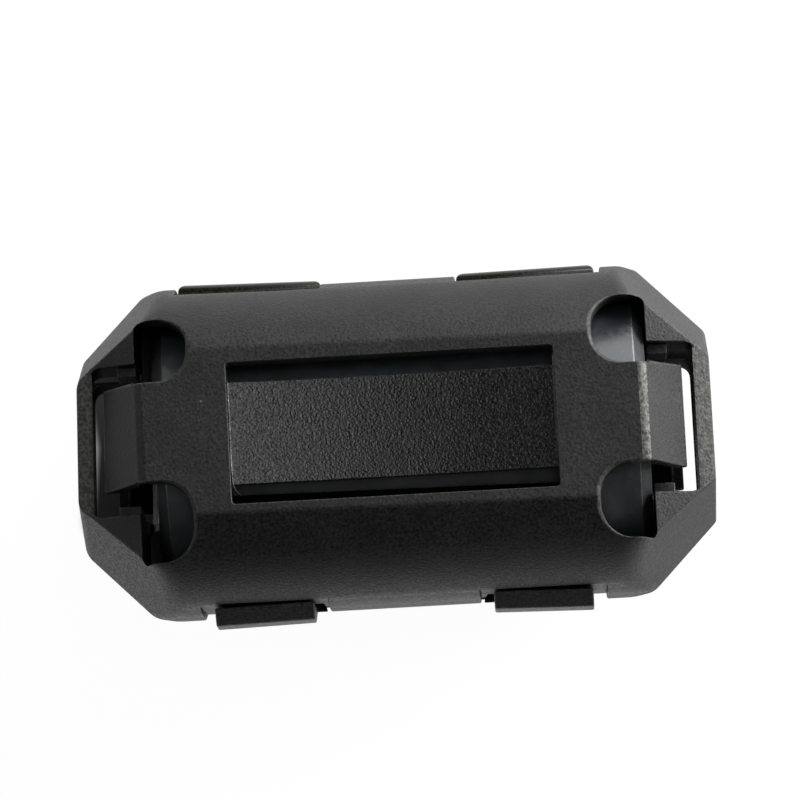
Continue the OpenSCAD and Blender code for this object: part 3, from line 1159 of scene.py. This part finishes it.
def paintShell(shell, spec):
    # the spring panel is grained, and the seat and the end chambers get a darker, duller plastic inside:
    # painted shade in the hollows
    for material in (casePlastic, springPlastic, shadedInnerPlastic):
        shell.data.materials.append(material)
    springX = stopX - caseSpec["windowInset"]
    springY = caseSpec["springHalf"] + spec["springMargin"]
    slotY = caseSpec["slotHalf"] + spec["slotMargin"]
    tongueY = caseSpec["tongueTipHalf"] + spec["tongueMargin"]
    for face in shell.data.polygons:
        x, y, z = (abs(value) / mm for value in face.center)
        onSpring = x < springX and y < springY and z < halfH - spec["springBelow"]
        inSeat = x < stopX + spec["seatEnd"] and math.hypot(y, z) < coreR + spec["seatMargin"]
        upright = abs(face.normal.z) < 0.35
        inward = face.normal.z * face.center.z / mm < -0.2 * z
        nearWall = stopX - spec["wallMargin"] < x < endX - spec["rimMargin"]
        inEnd = nearWall and y < slotY and z < halfH - spec["topMargin"]
        onTongue = y < tongueY and z > spec["tongueLow"]
        inner = inSeat or (inEnd and (inward or (upright and not onTongue)))
        face.material_index = 1 if onSpring else 2 if inner else 0


for shell in (upperShell, lowerShell):
    paintShell(shell, zoneSpec)
for core in (upperCore, lowerCore):
    paintCore(core, zoneSpec)
for strap in (leftStrap, rightStrap):
    strap.data.materials.append(shadedStrapPlastic)
print("finishes made")

# floor, light and surroundings
studioSpec = {
    "floorReach": 1.5,
    "floorColour": 0.8,
    "floorUneven": 0.01,
    "floorGlow": 0.97,
    "floorShade": 0.08,
    # painted shadow: the floor gets no glow under the object, between these places in metres
    "shadeX": ((-0.01567, -0.01457), (0.0122, 0.0134)),
    "shadeY": ((-0.0066, -0.0052), (0.0070, 0.0086)),
    "shadeCorner": (0.0187, 0.0197),
    "shadeMiddle": 0.001,
    # the shade is widest away from its waist, by this much of its length for each metre
    "shadeWaist": 0.0016,
    "shadeBulge": 7.5,
    # and the glow fades towards the left and the front: painted shade
    "shadowFadeX": (-0.019, -0.045),
    "shadowFadeY": (-0.020, -0.045),
    "shadowFadeTo": 0.2,
    # soft boxes: direction, sharpness and strength
    "softBoxes": [
        ((0.21, 0.12, 1.0), 80, 3.3),
        ((0.6, 0.8, 0.1), 12, 3.4),
        ((1.0, -0.5, 0.2), 12, 0.6),
        ((0.0, -0.8, 0.4), 8, 0.05),
        ((-0.85, 0.1, 0.5), 8, 0.7),
    ],
    "lamps": {
        "rightLamp": ((0.10, 0.03, 0.030), 0.05, 0.105),
        "backLamp": ((0.05, 0.12, 0.06), 0.06, 0.048),
        "topLamp": ((0.03, 0.10, 0.15), 0.06, 0.02),
    },
}


def smoothRise(tree, socket, start, stop, least=0.0):
    # from least at start to 1 at stop
    rise = addNode(
        tree, "MapRange", {"interpolation_type": "SMOOTHSTEP"},
        {"From Min": start, "From Max": stop, "To Min": least, "To Max": 1.0},
    )
    tree.links.new(socket, rise.inputs["Value"])
    return rise.outputs[0]


def coordinateMask(tree, socket, low, high):
    # 1 between the two bands, 0 outside them
    rise = smoothRise(tree, socket, low[0], low[1])
    return mathNode(tree, "MULTIPLY", rise, smoothRise(tree, socket, high[1], high[0]))


def floorStrength(tree, place, spec):
    # how brightly the floor glows: a painted shadow takes the glow away under the object, and painted shade
    # lowers it towards the left and the front
    axes = addNode(tree, "SeparateXYZ")
    tree.links.new(place, axes.inputs[0])
    x, y = axes.outputs[0], axes.outputs[1]
    fromWaist = mathNode(tree, "ABSOLUTE", mathNode(tree, "SUBTRACT", y, spec["shadeWaist"]))
    bulge = mathNode(tree, "SUBTRACT", 1, mathNode(tree, "MULTIPLY", fromWaist, spec["shadeBulge"]))
    drawnIn = mathNode(tree, "MULTIPLY", x, bulge)
    # painted shadow: the glow is taken away under the object
    under = coordinateMask(tree, drawnIn, *spec["shadeX"])
    under = mathNode(tree, "MULTIPLY", under, coordinateMask(tree, y, *spec["shadeY"]))
    along = mathNode(tree, "ABSOLUTE", x)
    across = mathNode(tree, "ABSOLUTE", mathNode(tree, "SUBTRACT", y, spec["shadeMiddle"]))
    low, high = spec["shadeCorner"]
    corner = smoothRise(tree, mathNode(tree, "ADD", along, across), high, low)
    under = mathNode(tree, "MULTIPLY", under, corner)
    strength = mathNode(tree, "MULTIPLY", mathNode(tree, "SUBTRACT", 1, under), spec["floorGlow"])
    # painted shade: less glow towards the left and the front
    for socket, (start, stop) in ((x, spec["shadowFadeX"]), (y, spec["shadowFadeY"])):
        shadowFade = smoothRise(tree, socket, stop, start, spec["shadowFadeTo"])
        strength = mathNode(tree, "MULTIPLY", strength, shadowFade)
    return strength


def makeFloor(spec):
    # a matt white floor for the light, and for the camera a glowing one with a little real shadow, a painted
    # shadow under the object and painted shade towards the left and the front
    reach, level = spec["floorReach"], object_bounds()[0][2]
    bm = bmesh.new()
    corners = [(x * reach, y * reach, level) for x, y in ((-1, -1), (1, -1), (1, 1), (-1, 1))]
    bm.faces.new([bm.verts.new(corner) for corner in corners])
    floor = solidFrom("floor", bm)
    material, tree, shader = newMaterial("whiteFloor")
    links = tree.links
    place = addNode(tree, "TexCoord").outputs["Object"]
    noise = addNode(tree, "TexNoise", values={"Scale": 40.0, "Detail": 2.0})
    links.new(place, noise.inputs["Vector"])
    white, uneven = spec["floorColour"], spec["floorUneven"]
    tone = rampNode(tree, noise.outputs[0], [(0.3, white - uneven), (0.7, white + uneven)])
    links.new(tone, shader.inputs["Base Color"])
    shader.inputs["Roughness"].default_value = 0.9
    seen = addNode(tree, "BsdfDiffuse", values={"Color": (spec["floorShade"],) * 3 + (1,)})
    glow = addNode(tree, "Emission", values={"Color": (1, 1, 1, 1)})
    links.new(floorStrength(tree, place, spec), glow.inputs["Strength"])
    both = addNode(tree, "AddShader")
    links.new(seen.outputs[0], both.inputs[0])
    links.new(glow.outputs[0], both.inputs[1])
    rays = addNode(tree, "LightPath")
    looks = mathNode(tree, "MAXIMUM", rays.outputs["Is Camera Ray"], rays.outputs["Is Glossy Ray"])
    looks = mathNode(tree, "MAXIMUM", looks, rays.outputs["Is Transmission Ray"])
    mix = addNode(tree, "MixShader")
    links.new(looks, mix.inputs[0])
    links.new(shader.outputs[0], mix.inputs[1])
    links.new(both.outputs[0], mix.inputs[2])
    links.new(mix.outputs[0], tree.nodes["Material Output"].inputs["Surface"])
    floor.data.materials.append(material)
    floor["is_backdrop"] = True


def makeLamp(name, place, size, power):
    data = bpy.data.lights.new(name, "AREA")
    data.shape = "DISK"
    data.size = size
    data.energy = power
    lamp = bpy.data.objects.new(name, data)
    bpy.context.scene.collection.objects.link(lamp)
    lamp.location = place
    lamp.rotation_euler = (-Vector(place)).to_track_quat("-Z", "Y").to_euler()


def softBoxGroup():
    # brightness of one soft light in the surroundings, by direction
    inputs = [
        ("Towards", "NodeSocketVector", (0, 0, 1)),
        ("Sharpness", "NodeSocketFloat", 8),
        ("Strength", "NodeSocketFloat", 1),
    ]
    group, start, end = newGroup("softBox", inputs, [("Value", "NodeSocketFloat")])
    near = addNode(group, "VectorMath", {"operation": "DOT_PRODUCT"})
    group.links.new(addNode(group, "TexCoord").outputs["Generated"], near.inputs[0])
    group.links.new(start.outputs[0], near.inputs[1])
    off = mathNode(group, "SUBTRACT", near.outputs["Value"], 1)
    power = mathNode(group, "MULTIPLY", off, start.outputs[1])
    value = mathNode(group, "MULTIPLY", mathNode(group, "EXPONENT", power), start.outputs[2])
    group.links.new(value, end.inputs[0])
    return group


def makeWorld(spec):
    # a soft room: dark in front, bright at the back and on the right
    world = bpy.data.worlds.new("studio")
    bpy.context.scene.world = world
    world.use_nodes = True
    tree = world.node_tree
    groups["softBox"] = softBoxGroup()
    total = None
    for towards, sharpness, strength in spec["softBoxes"]:
        box = placeGroup(tree, "softBox", {
            "Towards": Vector(towards).normalized(), "Sharpness": sharpness, "Strength": strength,
        })
        total = mathNode(tree, "ADD", total, box.outputs[0]) if total else box.outputs[0]
    background = tree.nodes["Background"]
    background.inputs["Color"].default_value = (1, 1, 1, 1)
    tree.links.new(total, background.inputs["Strength"])


makeFloor(studioSpec)
makeWorld(studioSpec)
for lampName, (place, size, power) in studioSpec["lamps"].items():
    makeLamp(lampName, place, size, power)
print("floor and lamps placed")
